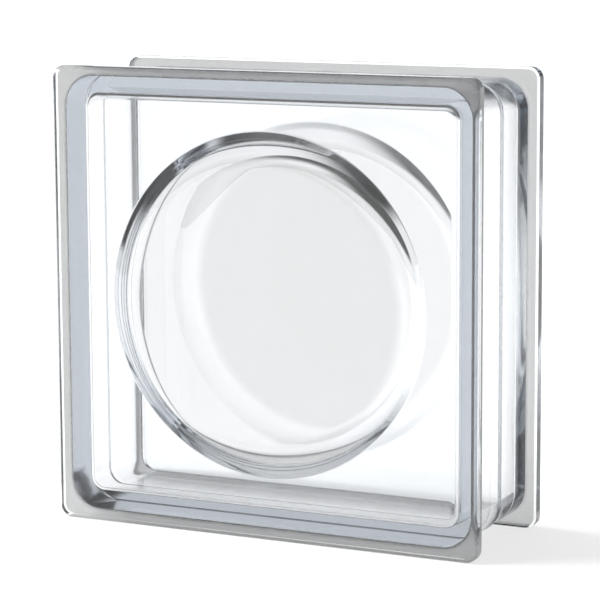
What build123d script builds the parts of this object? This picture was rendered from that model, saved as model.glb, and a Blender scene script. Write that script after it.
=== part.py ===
"""A hollow glass block, standing on its bottom edge.

Two pressed glass halves, fused rim to rim on the middle plane, close a sealed cavity. Each half is a square
pan: a face plate whose edge stands out as a flange, four walls set back behind it, and a round recess pressed
into the inner side of the plate. Millimetres; +Z is up, the front face looks along -Y, and the origin is the
middle of the bottom edge.
"""

import os

from build123d import *

# The whole block
face_side = 240
block_depth = 88

# The flange round each face plate
flange_edge = 8
face_corner_radius = 6.5
face_edge_radius = 2.5
flange_back_radius = 1.2

# The walls between the flanges, which leave a channel for mortar
channel_depth = 5.5
body_corner_radius = 16
channel_cove_radius = 2
wall_thickness = 7.5
wall_draft = 2

# The bead along the line where the two halves were fused
bead_width = 6
bead_height = 0.8
bead_round_share = 0.8

# The cavity
plate_thickness = 15
cavity_corner_radius = 9
cavity_floor_radius = 4

# The round recess in the inner side of each face plate
land_width = 18
recess_depth = 9.5
recess_slope_width = 9.2
recess_mouth_radius = 1.5
recess_cove_radius = 22

half_depth = block_depth / 2
body_side = face_side - 2 * channel_depth
bead_side = body_side + 2 * bead_height
cavity_side = body_side - 2 * wall_thickness
mouth_radius = cavity_side / 2 - land_width
floor_radius = mouth_radius - recess_slope_width
floor_thickness = plate_thickness - recess_depth

# Depth is measured inwards from the front face, square to it.
face_plane = Plane(origin=(0, -half_depth, face_side / 2), x_dir=(1, 0, 0), z_dir=(0, 1, 0))
centre_line = Axis((0, 0, face_side / 2), (0, 1, 0))
# In this plane the first coordinate runs out from the centre line, and the second along it from the front face.
radial_plane = Plane(origin=face_plane.origin, x_dir=(1, 0, 0), z_dir=(0, 0, 1))

with BuildPart() as front_half:
    # The flange slab, with its rim rounded front and back
    with BuildSketch(face_plane):
        RectangleRounded(face_side, face_side, face_corner_radius)
    extrude(amount=flange_edge)
    fillet(front_half.edges().group_by(Axis.Y)[0], face_edge_radius)
    fillet(front_half.edges().group_by(Axis.Y)[-1], flange_back_radius)

    # The walls stand on the back of the slab, in a cove.
    with BuildSketch(face_plane.offset(flange_edge)):
        RectangleRounded(body_side, body_side, body_corner_radius)
    extrude(amount=half_depth - flange_edge)
    fillet(front_half.edges(Select.LAST).group_by(Axis.Y)[0], channel_cove_radius)

    # This half's share of the fused bead, with its outer edge rounded
    with BuildSketch(face_plane.offset(half_depth - bead_width / 2)):
        RectangleRounded(bead_side, bead_side, body_corner_radius + bead_height)
    extrude(amount=bead_width / 2)
    bead_front = front_half.faces(Select.LAST).sort_by(Axis.Y)[0]
    fillet(bead_front.outer_wire().edges(), bead_height * bead_round_share)

    # The cavity, which narrows a little towards the face plate
    with BuildSketch(face_plane.offset(half_depth)):
        RectangleRounded(cavity_side, cavity_side, cavity_corner_radius)
    extrude(amount=plate_thickness - half_depth, taper=wall_draft, mode=Mode.SUBTRACT)
    cavity_floor = front_half.faces(Select.LAST).sort_by(Axis.Y)[0]
    fillet(cavity_floor.outer_wire().edges(), cavity_floor_radius)

    # The round recess, turned about the centre line
    with BuildSketch(radial_plane):
        with BuildLine():
            FilletPolyline(
                (0, floor_thickness),
                (floor_radius, floor_thickness),
                (mouth_radius, plate_thickness),
                radius=recess_cove_radius,
            )
            Polyline((mouth_radius, plate_thickness), (0, plate_thickness), (0, floor_thickness))
        make_face()
    revolve(axis=centre_line, mode=Mode.SUBTRACT)
    mouth = front_half.edges(Select.LAST).filter_by(GeomType.CIRCLE).sort_by(SortBy.RADIUS)[-1]
    fillet(mouth, recess_mouth_radius)

with BuildPart() as back_half:
    mirror(front_half.part, about=Plane.XZ)

os.makedirs("parts", exist_ok=True)
front_half.part.label = "front_half"
back_half.part.label = "back_half"
export_step(front_half.part, "parts/front_half.step")
export_step(back_half.part, "parts/back_half.step")
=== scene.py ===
"""Dresses the hollow glass block: one fused piece of clear pressed glass, on a pale studio stage."""

import math

import bmesh
import bpy
from bpy.props import FloatProperty, FloatVectorProperty, IntProperty, PointerProperty
from mathutils import Matrix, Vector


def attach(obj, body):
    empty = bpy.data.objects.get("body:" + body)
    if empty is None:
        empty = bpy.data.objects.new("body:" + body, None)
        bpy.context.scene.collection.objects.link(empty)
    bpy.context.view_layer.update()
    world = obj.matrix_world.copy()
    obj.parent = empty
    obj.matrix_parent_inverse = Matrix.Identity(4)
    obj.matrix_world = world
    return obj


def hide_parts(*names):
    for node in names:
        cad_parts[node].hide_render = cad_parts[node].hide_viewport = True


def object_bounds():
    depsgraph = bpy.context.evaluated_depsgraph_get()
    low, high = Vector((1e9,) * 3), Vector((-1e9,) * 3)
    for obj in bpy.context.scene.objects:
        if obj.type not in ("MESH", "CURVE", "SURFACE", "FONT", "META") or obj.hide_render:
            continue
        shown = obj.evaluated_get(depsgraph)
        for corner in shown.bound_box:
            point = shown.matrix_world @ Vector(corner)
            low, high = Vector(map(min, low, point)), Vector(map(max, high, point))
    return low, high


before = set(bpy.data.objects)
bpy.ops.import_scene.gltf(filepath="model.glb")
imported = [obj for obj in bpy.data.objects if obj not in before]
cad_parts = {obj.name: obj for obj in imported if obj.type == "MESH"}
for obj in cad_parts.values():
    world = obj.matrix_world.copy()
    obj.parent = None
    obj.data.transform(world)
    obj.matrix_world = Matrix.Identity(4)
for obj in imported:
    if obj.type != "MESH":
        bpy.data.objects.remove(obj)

bl_info = {
    "name": "Hollow Glass Block",
    "version": (1, 0, 0),
    "blender": (4, 5, 0),
    "location": "View3D > Sidebar > Glass Block",
    "description": "Models a hollow block of two fused glass halves and sets it on a pale studio stage",
    "category": "Object",
}

CAD_LOW, CAD_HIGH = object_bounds()
FACE_SIDE = CAD_HIGH.x - CAD_LOW.x
BLOCK_DEPTH = CAD_HIGH.y - CAD_LOW.y
CENTRE = (CAD_LOW + CAD_HIGH) / 2
MM = 0.001
MERGE_DISTANCE = 0.001 * MM
LEAST_CORNER = 0.5 * MM
QUARTER_TURN = math.pi / 2

# A face whose share of roughness is above this begins to count as stippled, and its colour begins to darken
# with painted shade.
STIPPLE_START = 0.5

# The studio, in metres
FLOOR_REACH = 40
CLIP_END = FLOOR_REACH + 10

# How often light may bounce on its way through the glass
GLASS_BOUNCES = 40
MIRROR_BOUNCES = 24


# Properties


def length(name, description, millimetres):
    """A length property, whose default is given in millimetres."""
    return FloatProperty(
        name=name, description=description, default=millimetres * MM, unit="LENGTH", precision=5
    )


def share(name, description, value):
    """A property between nothing and one."""
    return FloatProperty(name=name, description=description, default=value, subtype="FACTOR", min=0, max=1)


def angle(name, description, degrees):
    """An angle property, whose default is given in degrees."""
    return FloatProperty(name=name, description=description, default=math.radians(degrees), subtype="ANGLE")


def turn(name, description, *degrees):
    """A property of three turns, whose defaults are given in degrees."""
    radians = [math.radians(d) for d in degrees]
    return FloatVectorProperty(
        name=name, description=description, default=radians, size=3, subtype="EULER", unit="ROTATION"
    )


def colour(name, description, *value):
    """A colour property."""
    return FloatVectorProperty(
        name=name, description=description, default=value, size=3, subtype="COLOR", min=0, max=1
    )


def number(name, description, value):
    """A property without a unit."""
    return FloatProperty(name=name, description=description, default=value)


def count(name, description, value):
    """A property that counts faces or cuts."""
    return IntProperty(name=name, description=description, default=value, min=1)


class BlockSizes(bpy.types.PropertyGroup):
    """Sizes of the pressed glass"""

    flange_edge: length("Flange edge", "Thickness of the flange round each face", 8)
    face_corner: length("Face corner", "Corner radius of the face's outline", 6.5)
    face_round: length("Face edge round", "Rounding between the face and the flange's edge", 2.5)
    flange_round: length("Flange back round", "Rounding of the flange's edge on the channel side", 1.2)
    channel_depth: length("Channel depth", "How far the walls lie behind the flange's edge", 5.5)
    body_corner: length("Body corner", "Corner radius of the walls", 16)
    cove: length("Cove", "Radius where the wall meets the flange", 2)
    bead_width: length("Bead width", "Width of the fused bead", 6)
    bead_height: length("Bead height", "Height of the fused bead", 0.8)
    wall: length("Wall", "Thickness of the walls at the seam", 7.5)
    draft: length("Draft", "How much each wall thickens from the seam to the face plate", 1.0)
    plate: length("Face plate", "Thickness of the face plate outside the round recess", 15)
    cavity_corner: length("Cavity corner", "Corner radius of the cavity at the seam", 9)
    cavity_floor: length("Cavity floor round", "Radius where the cavity's walls meet the face plate", 4)
    land: length("Land", "Least width from the cavity's wall at the seam to the recess's mouth", 18)
    recess_depth: length("Recess depth", "Depth of the round recess", 9.5)
    slope_width: length("Slope width", "How far the recess's wall leans inwards", 9.2)
    recess_cove: length("Recess cove", "Radius where the recess's wall meets its floor", 22)
    mouth_round: length("Mouth round", "Rounding at the recess's mouth", 1.5)
    wall_rough: share("Wall roughness", "Roughness of the walls, as a share of the stipple's", 0.2)
    rim_rough: share("Rim roughness", "Roughness of the flange's edge, as a share of the stipple's", 0.15)
    # Painted shade on the recess floor: how far up the cove it reaches.
    painted_shade_fade: share("Haze fade", "Share of the recess's depth over which its floor's haze fades", 0.2)
    arc_steps: count("Arc steps", "Faces across each rounded edge", 6)
    corner_steps: count("Corner steps", "Faces round each corner", 16)
    side_cuts: count("Side cuts", "Cuts along each straight side", 11)
    ring_steps: count("Ring steps", "Faces round the recess", 256)


class GlassFinish(bpy.types.PropertyGroup):
    """Look of the glass"""

    ior: number("IOR", "Refractive index of soda-lime glass", 1.52)
    tint: colour("Tint", "Colour that a long path through the glass takes on", 0.712, 0.737, 0.765)
    density: number("Density", "How strongly the glass takes on its tint", 34)
    # Painted shade: darkens each recess floor so it shows greyer than the land round it.
    painted_shade: share("Painted shade", "Share of light that each recess floor lets through", 0.8)
    # Painted shade: darkens the stippled flange backs so the frame round the face shows grey; their frosting
    # is the roughness and stipple.
    painted_back_shade: share("Painted back shade", "Share of light that the stippled flange backs let through", 0.62)
    channel_roughness: share("Channel roughness", "Roughness of the stippled flange backs", 0.7)
    stipple_scale: number("Stipple scale", "Stipple grains in a metre", 900)
    stipple_depth: length("Stipple depth", "Depth of the stipple on the flange backs", 0.25)


class StageLook(bpy.types.PropertyGroup):
    """Camera, floor and light"""

    lens: number("Lens", "Focal length on a 36 mm sensor, in mm", 160.24)
    camera_place: FloatVectorProperty(
        name="Camera place", description="Where the camera stands", default=(0.6143, -1.2268, 0.3386), size=3,
        subtype="XYZ", unit="LENGTH",
    )
    camera_turn: turn("Camera turn", "Tilt, roll and heading of the camera", -9.13, 0.31, 26.53)
    floor_colour: colour("Floor colour", "Colour of the studio floor", 0.92, 0.92, 0.92)
    floor_roughness: share("Floor roughness", "Roughness of the floor's paper", 0.8)
    floor_gloss: share("Floor gloss", "Specular level of the floor's paper", 0.2)
    back_heading: angle("Back heading", "Heading of the middle of the white backdrop", 60.53)
    back_full: angle("Back full", "Half angle in which the backdrop is fully white", 36)
    back_none: angle("Back edge", "Half angle where the white backdrop ends", 54)
    back_low: share("Back low", "Height, as a sine, up to which the backdrop is white", 0.3)
    back_high: share("Back high", "Height, as a sine, where the backdrop has ended", 0.6)
    sweep_low: share("Sweep low", "Height, as a sine, up to which the studio is white all round", 0.1)
    sweep_high: share("Sweep high", "Height, as a sine, where that white sweep has ended", 0.2)
    top_low: share("Top low", "Height, as a sine, where the overhead light begins", 0.5)
    top_high: share("Top high", "Height, as a sine, where the overhead light is full", 0.9)
    back_light: number("Back light", "Brightness of the backdrop", 1.15)
    front_light: number("Front light", "Brightness at the sides and in front", 0.04)
    top_light: number("Top light", "Brightness overhead", 0.14)
    fill: number("Fill light", "Strength of the light from straight above, which casts no shadow", 2.5)
    key: number("Key light", "Strength of the light that casts the soft shadow", 2.3)
    key_turn: turn("Key turn", "Turn of the key light from straight above", 8, -35, 0)
    light_spread: angle("Light spread", "Angle that each distant light fills", 35)


# Meshes


def finish_piece(name, bm, material):
    """Turns the bmesh into a smooth piece at the origin, with flat faces kept flat."""
    for face in bm.faces:
        face.smooth = True
    mesh = bpy.data.meshes.new(name)
    bm.to_mesh(mesh)
    bm.free()
    mesh.materials.append(material)
    piece = bpy.data.objects.new(name, mesh)
    bpy.context.scene.collection.objects.link(piece)
    normals = piece.modifiers.new("Flat faces stay flat", "WEIGHTED_NORMAL")
    normals.mode = "FACE_AREA"
    normals.weight = 100
    normals.keep_sharp = False
    return piece


def arc(middle, radius, start, end, steps):
    """Points (inset, depth) on an arc, with angles in degrees from the inset axis towards the depth axis."""
    turns = [math.radians(start + (end - start) * k / steps) for k in range(steps + 1)]
    return [(middle[0] + radius * math.cos(a), middle[1] + radius * math.sin(a)) for a in turns]


def connected(edge):
    """All edges of the wire that the edge belongs to."""
    found = {edge}
    ahead = [edge]
    while ahead:
        for vert in ahead.pop().verts:
            fresh = [e for e in vert.link_edges if e not in found]
            found.update(fresh)
            ahead.extend(fresh)
    return list(found)


def add_loop(bm, inset, depth, corner, sizes, keep_face):
    """Adds a rounded square, inside the outline and behind the front face, and returns its edges."""
    made = bmesh.ops.create_grid(bm, x_segments=1, y_segments=1, size=FACE_SIDE / 2 - inset)
    middle = Matrix.Translation((CENTRE.x, CAD_LOW.y + depth, CENTRE.z))
    upright = Matrix.Rotation(QUARTER_TURN, 4, "X")
    bmesh.ops.transform(bm, matrix=middle @ upright, verts=made["verts"])
    rounded = bmesh.ops.bevel(
        bm, geom=made["verts"], offset=corner, offset_type="OFFSET", affect="VERTICES",
        segments=sizes.corner_steps, profile=0.5, material=-1,
    )
    face = rounded["verts"][0].link_faces[0]
    sides = sorted(face.edges, key=lambda edge: edge.calc_length())[-4:]
    if not keep_face:
        bmesh.ops.delete(bm, geom=[face], context="FACES_ONLY")
    bmesh.ops.subdivide_edges(bm, edges=sides, cuts=sizes.side_cuts)
    return connected(sides[0])


def moved(place, before, after):
    """Takes a coordinate, measured from the middle, from one rounded square of a profile to the next."""
    flat_before, flat_after = (FACE_SIDE / 2 - point[0] - point[2] for point in (before, after))
    if abs(place) <= flat_before:
        return place * flat_after / flat_before
    return math.copysign(flat_after + (abs(place) - flat_before) * after[2] / before[2], place)


def skin(bm, profile, sizes, cap_first=False):
    """Draws a rounded square along a profile of (inset, depth, corner, rough). Returns the last edges."""
    rough = bm.faces.layers.float.new("rough")
    edges = add_loop(bm, *profile[0][:3], sizes, keep_face=cap_first)
    for before, after in zip(profile, profile[1:]):
        made = bmesh.ops.extrude_edge_only(bm, edges=edges)["geom"]
        verts = {item for item in made if isinstance(item, bmesh.types.BMVert)}
        wires = [item for item in made if isinstance(item, bmesh.types.BMEdge)]
        edges = [edge for edge in wires if verts.issuperset(edge.verts)]
        for face in made:
            if isinstance(face, bmesh.types.BMFace):
                face[rough] = after[3]
        for vert in verts:
            vert.co.x = CENTRE.x + moved(vert.co.x - CENTRE.x, before, after)
            vert.co.z = CENTRE.z + moved(vert.co.z - CENTRE.z, before, after)
            vert.co.y = CAD_LOW.y + after[1]
    return edges


def outer_profile(sizes):
    """The outside of the front half, from the face to the top of the bead: (inset, depth, corner, rough)."""
    n = sizes.arc_steps
    r, b, c = sizes.face_round, sizes.flange_round, sizes.cove
    seam, half = BLOCK_DEPTH / 2, sizes.bead_width / 2
    face = arc((r, r), r, 270, 180, n)
    back = arc((b, sizes.flange_edge - b), b, 180, 90, n)
    cove = arc((sizes.channel_depth - c, sizes.flange_edge + c), c, 270, 360, n)
    # The wall runs straight to the bead, which rises to its crown at the seam.
    wall = []
    for k in range(n + 1):
        rise = sizes.bead_height * (0.5 - 0.5 * math.cos(math.pi * k / n))
        wall.append((sizes.channel_depth - rise, seam - half + half * k / n))
    body = sizes.body_corner + sizes.channel_depth
    profile = [(inset, depth, sizes.face_corner - inset, 0.0) for inset, depth in face]
    profile += [(inset, depth, sizes.face_corner - inset, sizes.rim_rough) for inset, depth in back]
    profile += [(inset, depth, body - inset, 1.0) for inset, depth in cove]
    profile += [(inset, depth, body - inset, sizes.wall_rough) for inset, depth in wall]
    return profile


def cavity_profile(sizes):
    """The cavity's walls, from the seam to the flat of the face plate: (inset, depth, corner, rough)."""
    start = sizes.channel_depth + sizes.wall
    r = sizes.cavity_floor
    bend = arc((start + sizes.draft + r, sizes.plate + r), r, 180, 270, sizes.arc_steps * 2)
    points = [(start, BLOCK_DEPTH / 2)] + bend
    corners = [max(sizes.cavity_corner - (inset - start), LEAST_CORNER) for inset, depth in points]
    return [(inset, depth, corner, 0.0) for (inset, depth), corner in zip(points, corners)]


def recess_points(sizes):
    """The recess's section, from just outside its mouth to the middle of its floor: (radius, depth)."""
    corner = FACE_SIDE / 2 - sizes.channel_depth - sizes.wall - sizes.land
    steep = math.atan2(sizes.recess_depth, sizes.slope_width)
    m, c = sizes.mouth_round, sizes.recess_cove
    land, floor = sizes.plate, sizes.plate - sizes.recess_depth
    mouth_radius = corner + m * math.tan(steep / 2)
    floor_radius = corner - sizes.slope_width - c * math.tan(steep / 2)
    n = 4 * sizes.arc_steps
    turns = [steep * k / n for k in range(n + 1)]
    mouth = [(mouth_radius - m * math.sin(a), land - m + m * math.cos(a)) for a in turns]
    cove = [(floor_radius + c * math.sin(a), floor + c - c * math.cos(a)) for a in reversed(turns)]
    return [(mouth_radius + m, land)] + mouth + cove + [(0, floor)]


def cavity_half(bm, sizes):
    """The front half of the cavity: drafted walls, face plate and round recess, whose floor is darkened with
    painted shade.
    """
    painted_shade = bm.verts.layers.float.new("painted_shade")
    land_edge = skin(bm, cavity_profile(sizes), sizes)
    walls = set(bm.verts)
    section = [(CENTRE.x + r, CAD_LOW.y + depth, CENTRE.z) for r, depth in recess_points(sizes)]
    verts = [bm.verts.new(point) for point in section]
    edges = [bm.edges.new(pair) for pair in zip(verts, verts[1:])]
    bmesh.ops.spin(
        bm, geom=verts + edges, cent=CENTRE, axis=(0, 1, 0), angle=2 * math.pi,
        steps=sizes.ring_steps, use_merge=True, use_duplicate=False,
    )
    turned = [v for v in bm.verts if v not in walls]
    bmesh.ops.remove_doubles(bm, verts=turned, dist=MERGE_DISTANCE)
    turned = {v for v in bm.verts if v not in walls}
    # Painted shade: a mark that is full on the recess's floor and fades out up its cove, to darken the floor.
    for vert in turned:
        rise = (vert.co.y - CAD_LOW.y - sizes.plate) / sizes.recess_depth + 1
        vert[painted_shade] = min(max(1 - rise / sizes.painted_shade_fade, 0), 1)
    mouth = [e for e in bm.edges if e.is_boundary and e.verts[0] in turned]
    bmesh.ops.triangle_fill(
        bm, use_beauty=True, use_dissolve=False, edges=land_edge + mouth, normal=(0, 1, 0)
    )


def close_shell(bm):
    """Mirrors a half shell on the middle plane, merges the seam and turns its faces outwards."""
    bmesh.ops.mirror(
        bm, geom=list(bm.verts) + list(bm.edges) + list(bm.faces), matrix=Matrix.Translation(CENTRE),
        merge_dist=MERGE_DISTANCE, axis="Y",
    )
    bmesh.ops.remove_doubles(bm, verts=bm.verts, dist=MERGE_DISTANCE)
    bmesh.ops.recalc_face_normals(bm, faces=bm.faces)
    loose = [e for e in bm.edges if not e.is_manifold]
    if loose:
        raise RuntimeError(f"{len(loose)} edges of the shell are open")


# Materials and light


def math_node(tree, operation, *values):
    """A math node whose inputs are numbers or other nodes' outputs. Returns its output."""
    node = tree.nodes.new("ShaderNodeMath")
    node.operation = operation
    for socket, value in zip(node.inputs, values):
        if isinstance(value, bpy.types.NodeSocket):
            tree.links.new(value, socket)
        else:
            socket.default_value = value
    return node.outputs[0]


def smooth(tree, value, low, high, start, end):
    """A smooth step from start to end, as a value goes from low to high."""
    node = tree.nodes.new("ShaderNodeMapRange")
    node.interpolation_type = "SMOOTHSTEP"
    for name, limit in (("From Min", low), ("From Max", high), ("To Min", start), ("To Max", end)):
        node.inputs[name].default_value = limit
    tree.links.new(value, node.inputs["Value"])
    return node.outputs["Result"]


def attribute(tree, name):
    """The value of one of the piece's own attributes."""
    node = tree.nodes.new("ShaderNodeAttribute")
    node.attribute_name = name
    return node.outputs["Fac"]


def glass_material(finish):
    """Clear glass with a faint tint, recess floors darkened with painted shade, and frosted, stippled flange
    backs darkened with painted shade.
    """
    material = bpy.data.materials.new("clear_glass")
    material.use_nodes = True
    tree = material.node_tree
    shader = tree.nodes["Principled BSDF"]
    shader.inputs["IOR"].default_value = finish.ior
    shader.inputs["Transmission Weight"].default_value = 1
    rough = attribute(tree, "rough")

    # The shader lets through the root of its colour at each surface.
    # Painted shade: the recess floors and the stippled flange backs let through less light, so they show
    # darker than clear glass.
    floors = smooth(tree, attribute(tree, "painted_shade"), 0, 1, 1, finish.painted_shade ** 2)
    backs = smooth(tree, rough, STIPPLE_START, 1, 1, finish.painted_back_shade ** 2)
    clear = math_node(tree, "MULTIPLY", floors, backs)
    grey = tree.nodes.new("ShaderNodeCombineColor")
    for socket in grey.inputs:
        tree.links.new(clear, socket)
    tree.links.new(grey.outputs[0], shader.inputs["Base Color"])
    tree.links.new(math_node(tree, "MULTIPLY", rough, finish.channel_roughness), shader.inputs["Roughness"])

    coords = tree.nodes.new("ShaderNodeTexCoord")
    grains = tree.nodes.new("ShaderNodeTexNoise")
    grains.inputs["Scale"].default_value = finish.stipple_scale
    tree.links.new(coords.outputs["Object"], grains.inputs["Vector"])
    relief = tree.nodes.new("ShaderNodeBump")
    relief.inputs["Distance"].default_value = finish.stipple_depth
    tree.links.new(grains.outputs["Fac"], relief.inputs["Height"])
    tree.links.new(smooth(tree, rough, STIPPLE_START, 1, 0, 1), relief.inputs["Strength"])
    tree.links.new(relief.outputs["Normal"], shader.inputs["Normal"])

    body = tree.nodes.new("ShaderNodeVolumeAbsorption")
    body.inputs["Color"].default_value = (*finish.tint, 1)
    body.inputs["Density"].default_value = finish.density
    tree.links.new(body.outputs["Volume"], tree.nodes["Material Output"].inputs["Volume"])
    return material


def floor_material(look):
    """Plain pale paper."""
    paper = bpy.data.materials.new("floor_paper")
    paper.use_nodes = True
    shader = paper.node_tree.nodes["Principled BSDF"]
    shader.inputs["Base Color"].default_value = (*look.floor_colour, 1)
    shader.inputs["Roughness"].default_value = look.floor_roughness
    shader.inputs["Specular IOR Level"].default_value = look.floor_gloss
    return paper


def backdrop_angle(tree, x, y, look):
    """Cosine of the angle, seen from above, between a direction and the middle of the backdrop."""
    heading = look.back_heading + QUARTER_TURN
    across = math_node(tree, "MULTIPLY", x, math.cos(heading))
    ahead = math_node(tree, "MULTIPLY_ADD", y, math.sin(heading), across)
    reach = math_node(tree, "SQRT", math_node(tree, "MULTIPLY_ADD", x, x, math_node(tree, "MULTIPLY", y, y)))
    return math_node(tree, "DIVIDE", ahead, math_node(tree, "MAXIMUM", reach, MM))


def studio_world(look):
    """A white backdrop behind the block and a low white sweep all round, in a dim studio."""
    world = bpy.data.worlds.new("studio")
    world.use_nodes = True
    tree = world.node_tree
    coords = tree.nodes.new("ShaderNodeTexCoord")
    split = tree.nodes.new("ShaderNodeSeparateXYZ")
    tree.links.new(coords.outputs["Generated"], split.inputs[0])
    x, y, z = split.outputs
    sideways = backdrop_angle(tree, x, y, look)
    wide = smooth(tree, sideways, math.cos(look.back_none), math.cos(look.back_full), 0, 1)
    low = smooth(tree, z, look.back_low, look.back_high, 1, 0)
    sweep = smooth(tree, z, look.sweep_low, look.sweep_high, 1, 0)
    white = math_node(tree, "MAXIMUM", math_node(tree, "MULTIPLY", wide, low), sweep)
    dim = smooth(tree, z, look.top_low, look.top_high, look.front_light, look.top_light)
    gain = math_node(tree, "SUBTRACT", look.back_light, dim)
    background = tree.nodes["Background"]
    background.inputs["Color"].default_value = (1, 1, 1, 1)
    tree.links.new(math_node(tree, "MULTIPLY_ADD", white, gain, dim), background.inputs["Strength"])
    return world


def distant_light(name, strength, look, turned, shadow):
    """A soft distant light that the glass doesn't mirror."""
    light = bpy.data.lights.new(name, "SUN")
    light.energy = strength
    light.angle = look.light_spread
    light.use_shadow = shadow
    lamp = bpy.data.objects.new(name, light)
    lamp.rotation_euler = turned
    lamp.visible_glossy = lamp.visible_transmission = False
    bpy.context.scene.collection.objects.link(lamp)


def studio_floor(look):
    """A wide floor of pale paper under the block."""
    bm = bmesh.new()
    bmesh.ops.create_grid(bm, x_segments=1, y_segments=1, size=FLOOR_REACH)
    mesh = bpy.data.meshes.new("studio_floor")
    bm.to_mesh(mesh)
    bm.free()
    mesh.materials.append(floor_material(look))
    floor = bpy.data.objects.new("studio_floor", mesh)
    floor.location.z = CAD_LOW.z
    bpy.context.scene.collection.objects.link(floor)
    return floor


def photo_camera(look):
    """The camera, level and looking along +Y before its heading, tilt and roll turn it."""
    data = bpy.data.cameras.new("camera")
    data.lens = look.lens
    data.clip_end = CLIP_END
    camera = bpy.data.objects.new("camera", data)
    tilt, roll, heading = look.camera_turn
    aim = Matrix.Rotation(heading, 4, "Z") @ Matrix.Rotation(tilt, 4, "X") @ Matrix.Rotation(roll, 4, "Y")
    camera.matrix_world = Matrix.Translation(look.camera_place) @ aim @ Matrix.Rotation(QUARTER_TURN, 4, "X")
    bpy.context.scene.collection.objects.link(camera)
    return camera


# Operators


class GLASSBLOCK_OT_block(bpy.types.Operator):
    """Models the fused block and its glass"""

    bl_idname = "glass_block.make_block"
    bl_label = "Make the block"

    def execute(self, context):
        sizes = context.scene.block_sizes
        cavity = bmesh.new()
        cavity_half(cavity, sizes)
        close_shell(cavity)
        bmesh.ops.reverse_faces(cavity, faces=cavity.faces)
        inner = bpy.data.meshes.new("cavity")
        cavity.to_mesh(inner)
        cavity.free()
        block = bmesh.new()
        skin(block, outer_profile(sizes), sizes, cap_first=True)
        close_shell(block)
        block.from_mesh(inner)
        bpy.data.meshes.remove(inner)
        piece = finish_piece("glass_block", block, glass_material(context.scene.glass_finish))
        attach(piece, "root")
        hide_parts("front_half", "back_half")
        return {"FINISHED"}


class GLASSBLOCK_OT_stage(bpy.types.Operator):
    """Lays the pale floor, sets the lights and places the camera"""

    bl_idname = "glass_block.make_stage"
    bl_label = "Make the stage"

    def execute(self, context):
        scene = context.scene
        look = scene.stage_look
        studio_floor(look)
        scene.world = studio_world(look)
        distant_light("fill_light", look.fill, look, (0, 0, 0), False)
        distant_light("key_light", look.key, look, look.key_turn, True)
        scene.camera = photo_camera(look)
        scene.view_settings.view_transform = "Standard"
        scene.cycles.max_bounces = GLASS_BOUNCES
        scene.cycles.transmission_bounces = GLASS_BOUNCES
        scene.cycles.glossy_bounces = MIRROR_BOUNCES
        return {"FINISHED"}


class GLASSBLOCK_PT_panel(bpy.types.Panel):
    """Sidebar panel of the glass block"""

    bl_idname = "GLASSBLOCK_PT_panel"
    bl_label = "Glass Block"
    bl_space_type = "VIEW_3D"
    bl_region_type = "UI"
    bl_category = "Glass Block"

    def draw(self, context):
        self.layout.operator(GLASSBLOCK_OT_block.bl_idname)
        self.layout.operator(GLASSBLOCK_OT_stage.bl_idname)
        for group in GROUPS:
            box = self.layout.box()
            for name in GROUPS[group].__annotations__:
                box.prop(getattr(context.scene, group), name)


GROUPS = {"block_sizes": BlockSizes, "glass_finish": GlassFinish, "stage_look": StageLook}
CLASSES = (*GROUPS.values(), GLASSBLOCK_OT_block, GLASSBLOCK_OT_stage, GLASSBLOCK_PT_panel)


def register():
    for each in CLASSES:
        bpy.utils.register_class(each)
    for name, group in GROUPS.items():
        setattr(bpy.types.Scene, name, PointerProperty(type=group))


def unregister():
    for name in GROUPS:
        delattr(bpy.types.Scene, name)
    for each in reversed(CLASSES):
        bpy.utils.unregister_class(each)


def main():
    register()
    bpy.ops.glass_block.make_block()
    bpy.ops.glass_block.make_stage()


if __name__ == "__main__":
    main()
